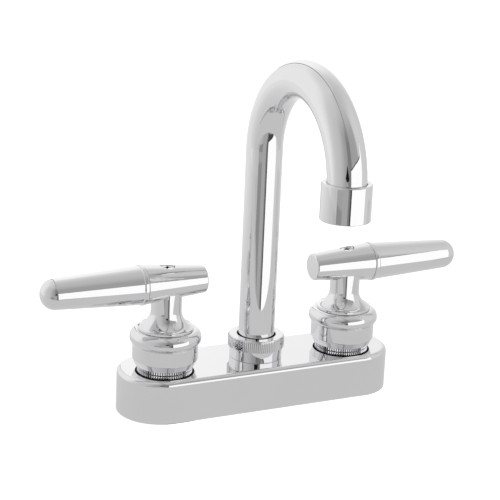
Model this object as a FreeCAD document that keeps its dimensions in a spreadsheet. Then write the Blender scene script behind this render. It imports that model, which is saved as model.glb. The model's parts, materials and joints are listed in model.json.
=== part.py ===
"""Bar faucet on a 4 inch centreset base: two lever handles and a swivelling gooseneck spout.

Millimetres. +X runs along the base, -Y is the front, which the spout faces, and +Z is up.
The origin is the middle of the base's underside, on the plane of the deck.
Each side's pieces are drawn about their own valve axis, with their outer side along +X,
so the left side is the right side turned half a turn.
"""
import FreeCAD, Part
import math
import os
import re
import Sketcher

document = FreeCAD.newDocument("bar_faucet")

# Driving dimensions
SIZES = {
    # Valve centres and the base cover
    "valve_centres": 101.6,
    "base_overhang": 24.3,
    "base_width": 43.8,
    "base_height": 22.0,
    "base_end_flat": 0.8,
    "base_edge_radius": 2.6,
    "base_wall": 1.8,
    "gasket_thickness": 2.0,
    # Fits and clearances
    "turning_fit": 0.05,
    "seat_gap": 0.3,
    "slip_gap": 0.2,
    # Valve bodies and their shanks
    "shank_radius": 10.45,
    "shank_wall": 4.45,
    "shank_length": 48.0,
    "shank_chamfer": 1.0,
    "relief_depth": 0.5,
    "relief_length": 2.0,
    "body_wall": 2.6,
    "neck_wall": 2.35,
    "neck_height": 5.5,
    "seat_height": 6.0,
    "gallery_gap": 1.2,
    # Mixing tubes
    "mixing_tube_radius": 4.0,
    "mixing_tube_wall": 0.8,
    # Knurled retaining rings
    "ring_wall": 1.85,
    "ring_height": 2.4,
    "ring_knurl_pitch": 1.27,
    "ring_knurl_depth": 0.4,
    "knurl_share": 0.86,
    # Headwork bonnets
    "bonnet_radius": 10.2,
    "bonnet_wall": 2.3,
    "bonnet_foot_gap": 1.0,
    "chamber_headroom": 0.9,
    "window_width": 8.0,
    "window_height": 2.4,
    "hex_step": 0.3,
    "hex_height": 6.0,
    "guide_wall": 3.45,
    "guide_drop": 0.2,
    "bonnet_ring_section": 0.8,
    # Ceramic discs and the seat seal
    "disc_thickness": 2.4,
    "disc_port_radius": 1.9,
    "disc_port_offset": 4.0,
    "seal_width": 1.4,
    "seal_thickness": 1.8,
    # Stems
    "stem_radius": 4.5,
    "driver_width": 7.0,
    "driver_thickness": 1.8,
    "broach_inset": 0.5,
    "broach_length": 15.0,
    "broach_step": 2.1,
    "broach_teeth": 20,
    "broach_tooth_depth": 0.35,
    "stem_hole_depth": 11.0,
    "stem_ring_section": 0.8,
    "stem_ring_drop": 5.4,
    "clip_reach": 1.5,
    "clip_groove_depth": 1.0,
    "clip_thickness": 0.7,
    "clip_opening": 60.0,
    # Escutcheons
    "skirt_foot_inset": 1.6,
    "skirt_foot_height": 3.1,
    "skirt_foot_curve": 3.5,
    "skirt_radius": 16.6,
    "skirt_height": 10.6,
    "skirt_wall": 1.6,
    "crease_depth": 0.45,
    "crease_height": 0.5,
    "rim_overhang": 1.5,
    "rim_section": 4.0,
    "escutcheon_top": 2.2,
    # Handle hubs: bell, neck and cross barrel
    "bell_radius": 14.2,
    "bell_lip": 1.0,
    "bell_sweep": 8.6,
    "bell_neck_radius": 7.8,
    "handle_rise": 23.7,
    "barrel_inner_length": 20.0,
    "barrel_outer_length": 12.8,
    "barrel_inner_radius": 7.0,
    "barrel_edge_radius": 1.0,
    "joint_step": 0.1,
    "clip_room": 1.4,
    "socket_end_gap": 0.5,
    "screw_seat_height": 5.4,
    # Levers
    "bead_height": 0.45,
    "bead_width": 2.6,
    "lever_root_radius": 9.75,
    "lever_tip_radius": 7.3,
    "lever_reach": 65.5,
    "spigot_radius": 5.0,
    "spigot_end_gap": 0.4,
    "socket_wall": 1.1,
    # Handle screws
    "screw_well_radius": 3.8,
    "screw_well_gap": 0.4,
    "screw_head_height": 2.2,
    "screw_head_dome": 0.55,
    "screw_radius": 1.95,
    "screw_way_gap": 0.25,
    "screw_engagement": 9.15,
    "screw_point": 0.5,
    "cross_width": 0.9,
    "cross_reach": 2.1,
    "cross_depth": 1.4,
    # Spout hub
    "hub_bore": 8.5,
    "hub_wall": 4.5,
    "hub_neck_wall": 2.7,
    "hub_neck_height": 6.0,
    "hub_floor": 3.0,
    # Spout nut
    "nut_wall": 2.25,
    "nut_flare": 0.2,
    "nut_band_step": 1.1,
    "nut_band_height": 5.5,
    "nut_chamfer": 0.7,
    "nut_hole_gap": 0.8,
    "nut_roof": 3.4,
    "nut_knurl_pitch": 1.02,
    "nut_knurl_depth": 0.3,
    # Spout tube, ferrule and washers
    "tube_radius": 9.25,
    "tube_wall": 1.0,
    "bend_radius": 42.1,
    "bend_height": 131.3,
    "outlet_drop": 5.3,
    "ferrule_flange_inset": 0.2,
    "ferrule_flange": 1.8,
    "ferrule_spigot": 6.0,
    "ferrule_depth": 13.0,
    "ferrule_groove_wall": 0.65,
    "spout_ring_section": 0.9,
    "spout_ring_rise": 3.0,
    "spout_ring_spacing": 5.0,
    "washer_thickness": 0.5,
    # Outlet: adapter, aerator housing and its contents
    "adapter_wall": 1.25,
    "adapter_headroom": 1.5,
    "aerator_wall": 1.2,
    "aerator_height": 17.3,
    "aerator_drop": 8.7,
    "aerator_edge": 0.5,
    "aerator_roof": 1.4,
    "aerator_lip": 1.2,
    "aerator_lip_width": 1.0,
    "tube_way_gap": 0.55,
    "outlet_washer_thickness": 0.6,
    "outlet_washer_width": 2.4,
    "insert_thickness": 4.6,
    "insert_hole_radius": 0.9,
    "insert_hole_circle": 6.4,
    "insert_holes": 10,
    "screen_thickness": 0.5,
    "screen_hole_radius": 0.6,
    "screen_rows": 4,
}

sheet = document.addObject("Spreadsheet::Sheet", "Sizes")
for row, (alias, size) in enumerate(SIZES.items(), start=1):
    sheet.set(f"A{row}", alias)
    sheet.set(f"B{row}", str(size))
    sheet.setAlias(f"B{row}", alias)
document.recompute()

# Radii and lengths that follow from the driving dimensions, as formulas of them
BASE_HALF = "(valve_centres / 2 + base_overhang)"
BASE_END_RADIUS = "(base_width / 2 - base_end_flat / 2)"
SHANK_BORE = "(shank_radius - shank_wall)"
BONNET_BORE = "(bonnet_radius + turning_fit)"
NECK_RADIUS = f"({BONNET_BORE} + neck_wall)"
GALLERY_RADIUS = "(bonnet_radius + gallery_gap)"
BODY_RADIUS = f"({GALLERY_RADIUS} + body_wall)"
RING_RADIUS = f"({NECK_RADIUS} + turning_fit + ring_wall)"
CHAMBER_RADIUS = "(bonnet_radius - bonnet_wall)"
DISC_RADIUS = f"({CHAMBER_RADIUS} - seat_gap)"
GUIDE_BORE = "(stem_radius + turning_fit)"
GUIDE_RADIUS = f"({GUIDE_BORE} + guide_wall)"
CLIP_FLOOR = "(stem_radius - clip_groove_depth)"
BROACH_RADIUS = "(stem_radius - broach_inset)"
RIM_CENTRE_RADIUS = "(skirt_radius + rim_overhang - rim_section)"
BEAD_RADIUS = "(lever_root_radius + bead_height)"
SPIGOT_LENGTH = "(barrel_outer_length - screw_well_radius - socket_wall - spigot_end_gap)"
SCREW_HOLE = "(screw_radius + turning_fit)"
HUB_RADIUS = "(hub_bore + hub_wall)"
HUB_NECK_RADIUS = "(hub_bore + hub_neck_wall)"
NUT_BORE = f"({HUB_NECK_RADIUS} + turning_fit)"
NUT_FOOT_RADIUS = f"({NUT_BORE} + nut_wall)"
NUT_BAND_RADIUS = f"({NUT_FOOT_RADIUS} + nut_band_step)"
NUT_HOLE = "(tube_radius + nut_hole_gap)"
FERRULE_RADIUS = "(hub_bore - turning_fit)"
FERRULE_GROOVE = f"({FERRULE_RADIUS} - 2 * spout_ring_section)"
FERRULE_BORE = f"({FERRULE_GROOVE} - ferrule_groove_wall)"
ADAPTER_BORE = "(tube_radius + turning_fit)"
AERATOR_BORE = f"({ADAPTER_BORE} + adapter_wall + turning_fit)"
AERATOR_RADIUS = f"({AERATOR_BORE} + aerator_wall)"
AERATOR_MOUTH = f"({AERATOR_BORE} - aerator_lip_width)"
FILLING_RADIUS = f"({AERATOR_BORE} - turning_fit)"

# Heights that follow from them, from the deck up
CEILING = "(base_height - base_wall)"
NECK_TOP = "(base_height + neck_height)"
MIXING_AXIS = "(seat_height + mixing_tube_radius)"
BONNET_FOOT = "(seat_height + bonnet_foot_gap)"
FIXED_DISC = "(seat_height + seal_thickness)"
MOVING_DISC = f"({FIXED_DISC} + disc_thickness + turning_fit)"
DRIVER = f"({MOVING_DISC} + disc_thickness + turning_fit)"
CHAMBER_TOP = f"({DRIVER} + driver_thickness + chamber_headroom)"
SKIRT_FOOT = "(base_height + ring_height)"
SKIRT_TOP = f"({SKIRT_FOOT} + skirt_height)"
RIM_FOOT = f"({SKIRT_TOP} + crease_height)"
RIM_CENTRE = f"({RIM_FOOT} + sqrt(rim_section^2 - (rim_section - rim_overhang)^2))"
ESCUTCHEON_TOP = f"({RIM_CENTRE} + rim_section)"
GUIDE_TOP = f"({ESCUTCHEON_TOP} - guide_drop)"
STEM_RING = f"({GUIDE_TOP} - stem_ring_drop)"
CLIP_FOOT = f"({GUIDE_TOP} + seat_gap)"
CLIP_TOP = f"({CLIP_FOOT} + clip_thickness + 2 * turning_fit)"
BROACH_FOOT = f"({CLIP_TOP} + broach_step)"
STEM_TOP = f"({BROACH_FOOT} + broach_length)"
BELL_FOOT = f"({ESCUTCHEON_TOP} + seat_gap)"
BARREL_AXIS = f"({BELL_FOOT} + handle_rise)"
SCREW_SEAT = f"({BARREL_AXIS} + screw_seat_height)"
HUB_TOP = "(base_height + hub_neck_height)"
FERRULE_FOOT = f"({HUB_TOP} - ferrule_depth)"
LOWER_RING = f"({FERRULE_FOOT} + spout_ring_rise)"
UPPER_RING = f"({LOWER_RING} + spout_ring_spacing)"
FLANGE_FOOT = f"({HUB_TOP} + washer_thickness)"
FLANGE_TOP = f"({FLANGE_FOOT} + ferrule_flange)"
NUT_CEILING = f"({FLANGE_TOP} + seat_gap)"
NUT_TOP = f"({NUT_CEILING} + nut_roof)"
OUTLET = "(bend_height - outlet_drop)"
AERATOR_FOOT = f"({OUTLET} - aerator_drop)"
SCREEN_FOOT = f"({AERATOR_FOOT} + aerator_lip)"
INSERT_FOOT = f"({SCREEN_FOOT} + screen_thickness)"
OUTLET_WASHER = f"({INSERT_FOOT} + insert_thickness)"
ADAPTER_FOOT = f"({OUTLET_WASHER} + outlet_washer_thickness)"


def bound(text):
    """The same formula, with the sheet's name before each size."""
    return re.sub(r"[a-z][a-z_]+", lambda word: "Sizes." + word[0] if word[0] in SIZES else word[0], text)


def number(text):
    """The present value of a formula."""
    return float(sheet.evalExpression(bound(text)))


pieces = []


def new_body(label, height="0"):
    """An empty body that is one piece of the faucet."""
    body = document.addObject("PartDesign::Body", label)
    body.Label = label
    body.setExpression("Placement.Base.z", bound(height))
    pieces.append(body)
    return body


def origin_part(body, role):
    """One of the body's own origin planes or axes."""
    return next(part for part in body.Origin.OriginFeatures if part.Role == role)


def new_sketch(body, name, role, across="0", up="0", out="0"):
    """An empty sketch on one of the body's own planes, its origin shifted by the three formulas."""
    sketch = body.newObject("Sketcher::SketchObject", name)
    sketch.AttachmentSupport = [(origin_part(body, role), "")]
    sketch.MapMode = "FlatFace"
    for direction, formula in (("x", across), ("y", up), ("z", out)):
        sketch.setExpression(f"AttachmentOffset.Base.{direction}", bound(formula))
    return sketch


def bind(sketch, kind, places, formula):
    """One dimension of a sketch, tied to a formula."""
    index = sketch.addConstraint(Sketcher.Constraint(kind, *places, number(formula)))
    sketch.setExpression(f"Constraints[{index}]", bound(formula))


def bind_point(sketch, geometry, end, across, up):
    """Ties one point of a sketch to its two coordinates."""
    bind(sketch, "DistanceX", (-1, 1, geometry, end), across)
    bind(sketch, "DistanceY", (-1, 1, geometry, end), up)


def add_arc(sketch, start, finish, radius, turn):
    """An arc of under half a circle, counter-clockwise for a turn of 1; gives its start and finish ends."""
    chord = finish - start
    rise = math.sqrt(max(radius**2 - (chord.Length / 2) ** 2, 0))
    side = FreeCAD.Vector(-chord.y, chord.x, 0).normalize() * turn
    centre = (start + finish) / 2 + side * rise
    first, last = (start, finish) if turn > 0 else (finish, start)
    angles = [math.atan2(point.y - centre.y, point.x - centre.x) for point in (first, last)]
    circle = Part.Circle(centre, FreeCAD.Vector(0, 0, 1), radius)
    sketch.addGeometry(Part.ArcOfCircle(circle, *angles), False)
    return (1, 2) if turn > 0 else (2, 1)


def draw(sketch, corners, closed=True):
    """Joins corners by lines, and by an arc where a corner also gives its radius and turn.

    The arc is the one that arrives at that corner. Every corner is tied to its formulas.
    """
    points = [FreeCAD.Vector(number(corner[0]), number(corner[1]), 0) for corner in corners]
    count = len(corners)
    ends = []
    for index in range(0 if closed else 1, count):
        start, finish, corner = points[index - 1], points[index], corners[index]
        if len(corner) == 4:
            ends.append(add_arc(sketch, start, finish, number(corner[2]), corner[3]))
        else:
            sketch.addGeometry(Part.LineSegment(start, finish), False)
            ends.append((1, 2))
    spans = len(ends)
    for index in range(spans if closed else spans - 1):
        following = (index + 1) % spans
        places = (index, ends[index][1], following, ends[following][0])
        sketch.addConstraint(Sketcher.Constraint("Coincident", *places))
    reached = corners if closed else corners[1:]
    for index, corner in enumerate(reached):
        bind_point(sketch, index, ends[index][1], corner[0], corner[1])
        if len(corner) == 4:
            bind(sketch, "Radius", (index,), corner[2])
    if not closed:
        bind_point(sketch, 0, ends[0][0], corners[0][0], corners[0][1])
    return sketch


def draw_circle(sketch, radius, across="0", up="0"):
    """A circle tied to its radius and centre."""
    centre = FreeCAD.Vector(number(across), number(up), 0)
    index = sketch.addGeometry(Part.Circle(centre, FreeCAD.Vector(0, 0, 1), number(radius)), False)
    bind(sketch, "Radius", (index,), radius)
    bind_point(sketch, index, 3, across, up)
    return sketch


def checked_cut(body, feature):
    """Makes sure that a cutting feature took material away."""
    before = feature.BaseFeature.Shape.Volume
    document.recompute()
    if not feature.Shape.Volume < before - 1e-6:
        raise ValueError(f"{feature.Name} of {body.Label} cuts nothing")
    return feature


def revolve(body, name, corners, axis="V_Axis", up="0", angle="360"):
    """Turns an outline on the XZ plane about the sketch's upright or level axis."""
    sketch = draw(new_sketch(body, name + "_outline", "XZ_Plane", up=up), corners)
    feature = body.newObject("PartDesign::Revolution", name)
    feature.Profile = sketch
    feature.ReferenceAxis = (sketch, [axis])
    feature.setExpression("Angle", bound(angle))
    document.recompute()
    return feature


def turn_out(body, name, corners, axis="V_Axis", up="0"):
    """Turns an outline about an axis and takes it out of the body."""
    sketch = draw(new_sketch(body, name + "_outline", "XZ_Plane", up=up), corners)
    feature = body.newObject("PartDesign::Groove", name)
    feature.Profile = sketch
    feature.ReferenceAxis = (sketch, [axis])
    feature.Angle = 360
    return checked_cut(body, feature)


def pad(body, name, sketch, length):
    """Raises a sketch along its normal."""
    feature = body.newObject("PartDesign::Pad", name)
    feature.Profile = sketch
    feature.setExpression("Length", bound(length))
    document.recompute()
    return feature


def pocket(body, name, sketch, length, upwards):
    """Sinks a sketch into the body, along its normal when upwards."""
    feature = body.newObject("PartDesign::Pocket", name)
    feature.Profile = sketch
    feature.setExpression("Length", bound(length))
    feature.Reversed = upwards
    return checked_cut(body, feature)


def repeat_round(body, name, feature, count):
    """Repeats a feature all the way round the body's upright axis."""
    pattern = body.newObject("PartDesign::PolarPattern", name)
    pattern.Originals = [feature]
    pattern.Axis = (origin_part(body, "Z_Axis"), [""])
    pattern.Angle = 360
    pattern.setExpression("Occurrences", bound(count))
    body.Tip = pattern
    document.recompute()
    return pattern


def knurl(body, radius, foot, height, depth, count):
    """Cuts upright V grooves into a round band."""
    outer = f"({radius} + {depth})"
    half = f"({outer} * tan(knurl_share * 180 / ({count})))"
    sketch = new_sketch(body, "groove_outline", "XY_Plane", out=foot)
    draw(sketch, [(f"{radius} - {depth}", "0"), (outer, f"-{half}"), (outer, half)])
    groove = pocket(body, "groove", sketch, height, upwards=True)
    return repeat_round(body, "grooves", groove, count)


def round_bar(corner_across, corner_up, radius):
    """Corners of a rectangle with round corners, centred on the origin."""
    x, y, r = corner_across, corner_up, radius
    return [
        (f"{x}", f"-{y} + {r}", r, 1),
        (f"{x}", f"{y} - {r}"),
        (f"{x} - {r}", f"{y}", r, 1),
        (f"-{x} + {r}", f"{y}"),
        (f"-{x}", f"{y} - {r}", r, 1),
        (f"-{x}", f"-{y} + {r}"),
        (f"-{x} + {r}", f"-{y}", r, 1),
        (f"{x} - {r}", f"-{y}"),
    ]


def inset_bar(inset):
    """The base's outline, moved inwards."""
    half = f"({BASE_HALF} - {inset})"
    side = f"(base_width / 2 - {inset})"
    end = f"({BASE_END_RADIUS} - {inset})"
    return round_bar(half, side, end)


def o_ring(label, inner, section, height):
    """A round ring of round section, its bore and middle height given."""
    ring = document.addObject("Part::Torus", label)
    ring.Label = label
    ring.setExpression("Radius1", bound(f"{inner} + {section}"))
    ring.setExpression("Radius2", bound(section))
    ring.setExpression("Placement.Base.z", bound(height))
    pieces.append(ring)
    return ring


def washer(label, bore, radius, thickness, height):
    """A flat ring."""
    body = new_body(label, height)
    revolve(body, "ring", [(bore, "0"), (radius, "0"), (radius, thickness), (bore, thickness)])
    return body


# Base cover, a hollow shell with round ends
def make_base_cover():
    body = new_body("base_cover")
    outline = new_sketch(body, "foot_outline", "XY_Plane")
    draw(outline, round_bar(BASE_HALF, "base_width / 2", BASE_END_RADIUS))
    block = pad(body, "block", outline, "base_height")
    top = number("base_height")
    edges = [
        f"Edge{index}"
        for index, edge in enumerate(block.Shape.Edges, start=1)
        if all(abs(vertex.Z - top) < 1e-6 for vertex in edge.Vertexes)
    ]
    rounding = body.newObject("PartDesign::Fillet", "top_rounding")
    rounding.Base = (block, edges)
    rounding.setExpression("Radius", bound("base_edge_radius"))
    document.recompute()
    inside = new_sketch(body, "inside_outline", "XY_Plane")
    draw(inside, inset_bar("base_wall"))
    pocket(body, "inside", inside, CEILING, upwards=True)
    holes = new_sketch(body, "hole_outlines", "XY_Plane", out="base_height")
    draw_circle(holes, f"{NECK_RADIUS} + slip_gap", across="-valve_centres / 2")
    draw_circle(holes, f"{NECK_RADIUS} + slip_gap", across="valve_centres / 2")
    draw_circle(holes, f"{HUB_NECK_RADIUS} + slip_gap")
    pocket(body, "holes", holes, "2 * base_wall", upwards=False)


# Deck gasket, which fills the cover's open underside
def make_deck_gasket():
    body = new_body("deck_gasket")
    outline = new_sketch(body, "outline", "XY_Plane")
    draw(outline, inset_bar("(base_wall + seat_gap)"))
    pad(body, "sheet", outline, "gasket_thickness")
    holes = new_sketch(body, "hole_outlines", "XY_Plane")
    draw_circle(holes, "shank_radius + seat_gap", across="-valve_centres / 2")
    draw_circle(holes, "shank_radius + seat_gap", across="valve_centres / 2")
    pocket(body, "holes", holes, "gasket_thickness", upwards=True)


# Centre of the base: hub, ferrule, washers, nut and spout
def make_spout_hub():
    body = new_body("spout_hub")
    outline = [
        ("0", "gasket_thickness"),
        (HUB_RADIUS, "gasket_thickness"),
        (HUB_RADIUS, CEILING),
        (HUB_NECK_RADIUS, CEILING),
        (HUB_NECK_RADIUS, HUB_TOP),
        ("hub_bore", HUB_TOP),
        ("hub_bore", "gasket_thickness + hub_floor"),
        ("0", "gasket_thickness + hub_floor"),
    ]
    revolve(body, "casting", outline)
    ports = new_sketch(body, "port_outline", "YZ_Plane", out=f"-{HUB_RADIUS}")
    draw_circle(ports, "mixing_tube_radius + turning_fit", up=MIXING_AXIS)
    pocket(body, "ports", ports, f"2 * {HUB_RADIUS}", upwards=True)


def make_mixing_tube(label, side):
    """A tube from the hub's wall to the valve body's gallery, drawn along X from the hub."""
    body = new_body(label, MIXING_AXIS)
    start = "hub_bore + seat_gap"
    finish = f"valve_centres / 2 - {GALLERY_RADIUS} - seat_gap"
    bore = "mixing_tube_radius - mixing_tube_wall"
    corners = [(start, bore), (finish, bore), (finish, "mixing_tube_radius"), (start, "mixing_tube_radius")]
    revolve(body, "tube", corners, axis="H_Axis")
    turn_to_side(body, side)


def turn_to_side(body, side):
    """Turns a piece drawn on the right to the left where it belongs there."""
    if side < 0:
        body.Placement.Rotation = FreeCAD.Rotation(FreeCAD.Vector(0, 0, 1), 180)


def make_spout_ferrule():
    body = new_body("spout_ferrule")
    spigot = "(tube_radius - tube_wall - turning_fit)"
    flange = f"{HUB_NECK_RADIUS} - ferrule_flange_inset"
    outline = [
        (FERRULE_BORE, FERRULE_FOOT),
        (FERRULE_RADIUS, FERRULE_FOOT),
        (FERRULE_RADIUS, FLANGE_FOOT),
        (flange, FLANGE_FOOT),
        (flange, FLANGE_TOP),
        (spigot, FLANGE_TOP),
        (spigot, f"{FLANGE_TOP} + ferrule_spigot"),
        (FERRULE_BORE, f"{FLANGE_TOP} + ferrule_spigot"),
    ]
    revolve(body, "sleeve", outline)
    for name, height in (("lower_groove", LOWER_RING), ("upper_groove", UPPER_RING)):
        low = f"{height} - spout_ring_section - turning_fit"
        high = f"{height} + spout_ring_section + turning_fit"
        groove = [
            (FERRULE_GROOVE, low),
            (FERRULE_RADIUS, low),
            (FERRULE_RADIUS, high),
            (FERRULE_GROOVE, high),
        ]
        turn_out(body, name, groove)


def make_spout_o_rings():
    section = "(spout_ring_section - turning_fit / 2)"
    for label, height in (("spout_lower_o_ring", LOWER_RING), ("spout_upper_o_ring", UPPER_RING)):
        o_ring(label, f"({FERRULE_GROOVE} + turning_fit / 2)", section, height)


def make_spout_nut():
    body = new_body("spout_nut")
    band_foot = f"({NUT_TOP} - nut_chamfer - nut_band_height)"
    outline = [
        (NUT_BORE, "base_height"),
        (NUT_FOOT_RADIUS, "base_height"),
        (f"{NUT_FOOT_RADIUS} + nut_flare", band_foot),
        (NUT_BAND_RADIUS, f"{band_foot} + nut_chamfer / 2"),
        (NUT_BAND_RADIUS, f"{NUT_TOP} - nut_chamfer"),
        (f"{NUT_BAND_RADIUS} - nut_chamfer", NUT_TOP),
        (NUT_HOLE, NUT_TOP),
        (NUT_HOLE, NUT_CEILING),
        (NUT_BORE, NUT_CEILING),
    ]
    revolve(body, "nut", outline)
    count = f"floor(2 * pi * {NUT_BAND_RADIUS} / nut_knurl_pitch)"
    knurl(body, NUT_BAND_RADIUS, band_foot, "nut_band_height + nut_chamfer", "nut_knurl_depth", count)


def make_spout():
    body = new_body("spout")
    path = new_sketch(body, "path", "YZ_Plane")
    route = [
        ("0", FLANGE_TOP),
        ("0", "bend_height"),
        ("-bend_radius", "bend_height + bend_radius", "bend_radius", 1),
        ("-2 * bend_radius", "bend_height", "bend_radius", 1),
        ("-2 * bend_radius", OUTLET),
    ]
    draw(path, route, closed=False)
    section = new_sketch(body, "section", "XY_Plane", out=FLANGE_TOP)
    draw_circle(section, "tube_radius")
    draw_circle(section, "tube_radius - tube_wall")
    tube = body.newObject("PartDesign::AdditivePipe", "tube")
    tube.Profile = section
    tube.Spine = path
    document.recompute()


# Outlet: adapter, housing, washer, insert and screen, all about the outlet's own axis
def move_to_outlet(body):
    body.setExpression("Placement.Base.y", bound("-2 * bend_radius"))


def make_outlet_adapter():
    height = f"({AERATOR_FOOT} + aerator_height - aerator_roof - adapter_headroom - {ADAPTER_FOOT})"
    outer = f"{ADAPTER_BORE} + adapter_wall"
    move_to_outlet(washer("outlet_adapter", ADAPTER_BORE, outer, height, ADAPTER_FOOT))


def make_aerator_housing():
    body = new_body("aerator_housing", AERATOR_FOOT)
    edge = "aerator_edge"
    way = "tube_radius + tube_way_gap"
    outline = [
        (AERATOR_MOUTH, "0"),
        (f"{AERATOR_RADIUS} - {edge}", "0"),
        (AERATOR_RADIUS, edge, edge, 1),
        (AERATOR_RADIUS, f"aerator_height - {edge}"),
        (f"{AERATOR_RADIUS} - {edge}", "aerator_height", edge, 1),
        (way, "aerator_height"),
        (way, "aerator_height - aerator_roof"),
        (AERATOR_BORE, "aerator_height - aerator_roof"),
        (AERATOR_BORE, "aerator_lip"),
        (AERATOR_MOUTH, "aerator_lip"),
    ]
    revolve(body, "shell", outline)
    move_to_outlet(body)


def make_aerator_washer():
    bore = f"{FILLING_RADIUS} - outlet_washer_width"
    move_to_outlet(washer("aerator_washer", bore, FILLING_RADIUS, "outlet_washer_thickness", OUTLET_WASHER))


def make_aerator_insert():
    body = new_body("aerator_insert", INSERT_FOOT)
    top = "insert_thickness"
    revolve(body, "plug", [("0", "0"), (FILLING_RADIUS, "0"), (FILLING_RADIUS, top), ("0", top)])
    sketch = new_sketch(body, "hole_outline", "XY_Plane")
    draw_circle(sketch, "insert_hole_radius", across="insert_hole_circle")
    hole = pocket(body, "hole", sketch, top, upwards=True)
    repeat_round(body, "ring_of_holes", hole, "insert_holes")
    move_to_outlet(body)


def make_aerator_screen():
    body = new_body("aerator_screen", SCREEN_FOOT)
    top = "screen_thickness"
    revolve(body, "disc", [("0", "0"), (FILLING_RADIUS, "0"), (FILLING_RADIUS, top), ("0", top)])
    for place in range(1, int(SIZES["screen_rows"]) + 1):
        reach = f"{place} * ({AERATOR_MOUTH} - 2 * screen_hole_radius) / screen_rows"
        sketch = new_sketch(body, f"row_{place}_outline", "XY_Plane")
        draw_circle(sketch, "screen_hole_radius", across=reach)
        hole = pocket(body, f"row_{place}_hole", sketch, top, upwards=True)
        repeat_round(body, f"row_{place}", hole, f"{6 * place}")
    move_to_outlet(body)


# Valve side: pieces drawn about the valve's axis, then moved to each side
def move_to_valve(piece, side):
    """Stands a piece on its valve's axis; the left one is turned half a turn."""
    turn_to_side(piece, side)
    piece.setExpression("Placement.Base.x", bound(f"{side} * valve_centres / 2"))


def make_valve_body(side, word):
    body = new_body(f"{word}_valve_body")
    outline = [
        (SHANK_BORE, "-shank_length"),
        ("shank_radius - shank_chamfer", "-shank_length"),
        ("shank_radius", "-shank_length + shank_chamfer"),
        ("shank_radius", "-relief_length"),
        ("shank_radius - relief_depth", "-relief_length + relief_depth"),
        ("shank_radius - relief_depth", "gasket_thickness"),
        (BODY_RADIUS, "gasket_thickness"),
        (BODY_RADIUS, CEILING),
        (NECK_RADIUS, CEILING),
        (NECK_RADIUS, NECK_TOP),
        (BONNET_BORE, NECK_TOP),
        (BONNET_BORE, CHAMBER_TOP),
        (GALLERY_RADIUS, CHAMBER_TOP),
        (GALLERY_RADIUS, "seat_height"),
        (SHANK_BORE, "seat_height"),
    ]
    revolve(body, "casting", outline)
    port = new_sketch(body, "port_outline", "YZ_Plane")
    draw_circle(port, "mixing_tube_radius + turning_fit", up=MIXING_AXIS)
    pocket(body, "port", port, BODY_RADIUS, upwards=False)
    move_to_valve(body, side)


def make_retaining_ring(side, word):
    body = new_body(f"{word}_retaining_ring", "base_height")
    bore = f"{NECK_RADIUS} + turning_fit"
    profile = [
        (bore, "0"),
        (RING_RADIUS, "0"),
        (RING_RADIUS, "ring_height"),
        (bore, "ring_height"),
    ]
    revolve(body, "ring", profile)
    count = f"floor(2 * pi * {RING_RADIUS} / ring_knurl_pitch)"
    knurl(body, RING_RADIUS, "0", "ring_height", "ring_knurl_depth", count)
    move_to_valve(body, side)


def make_bonnet(side, word):
    body = new_body(f"{word}_bonnet")
    hexagon = new_sketch(body, "hexagon", "XY_Plane", out=NECK_TOP)
    corner = "2 * (bonnet_radius + hex_step) / sqrt(3)"
    draw(hexagon, [(f"{corner} * cos({60 * place})", f"{corner} * sin({60 * place})") for place in range(6)])
    pad(body, "hexagon_head", hexagon, "hex_height")
    outline = [
        ("0", BONNET_FOOT),
        ("bonnet_radius", BONNET_FOOT),
        ("bonnet_radius", NECK_TOP),
        (GUIDE_RADIUS, f"{NECK_TOP} + hex_height"),
        (GUIDE_RADIUS, GUIDE_TOP),
        ("0", GUIDE_TOP),
    ]
    revolve(body, "barrel", outline)
    hollow = [
        ("0", BONNET_FOOT),
        (CHAMBER_RADIUS, BONNET_FOOT),
        (CHAMBER_RADIUS, CHAMBER_TOP),
        (GUIDE_BORE, CHAMBER_TOP),
        (GUIDE_BORE, GUIDE_TOP),
        ("0", GUIDE_TOP),
    ]
    turn_out(body, "chamber", hollow)
    groove_foot = f"({NECK_TOP} - 2 * bonnet_ring_section - turning_fit)"
    groove_floor = "(bonnet_radius - 2 * bonnet_ring_section)"
    groove = [
        (groove_floor, groove_foot),
        ("bonnet_radius", groove_foot),
        ("bonnet_radius", NECK_TOP),
        (groove_floor, NECK_TOP),
    ]
    turn_out(body, "ring_groove", groove)
    windows = new_sketch(body, "window_outline", "YZ_Plane", out="-bonnet_radius")
    low = f"{CHAMBER_TOP} - window_height"
    half = "window_width / 2"
    draw(windows, [(f"-{half}", low), (half, low), (half, CHAMBER_TOP), (f"-{half}", CHAMBER_TOP)])
    pocket(body, "windows", windows, "2 * bonnet_radius", upwards=True)
    move_to_valve(body, side)


def make_bonnet_o_ring(side, word):
    section = "(bonnet_ring_section - turning_fit / 2)"
    inner = "(bonnet_radius - 2 * bonnet_ring_section + turning_fit / 2)"
    height = f"({NECK_TOP} - bonnet_ring_section - turning_fit / 2)"
    move_to_valve(o_ring(f"{word}_bonnet_o_ring", inner, section, height), side)


def make_seat_seal(side, word):
    radius = f"({CHAMBER_RADIUS} - slip_gap)"
    seal = washer(f"{word}_seat_seal", f"{radius} - seal_width", radius, "seal_thickness", "seat_height")
    move_to_valve(seal, side)


def make_disc(side, word, kind, height):
    """A ceramic disc with two ports."""
    body = new_body(f"{word}_{kind}_disc", height)
    top = "disc_thickness"
    revolve(body, "disc", [("0", "0"), (DISC_RADIUS, "0"), (DISC_RADIUS, top), ("0", top)])
    ports = new_sketch(body, "port_outlines", "XY_Plane")
    # The moving disc's ports lie across the fixed disc's while the handle is closed
    direction = "across" if kind == "fixed" else "up"
    draw_circle(ports, "disc_port_radius", **{direction: "disc_port_offset"})
    draw_circle(ports, "disc_port_radius", **{direction: "-disc_port_offset"})
    pocket(body, "ports", ports, top, upwards=True)
    move_to_valve(body, side)


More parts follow.
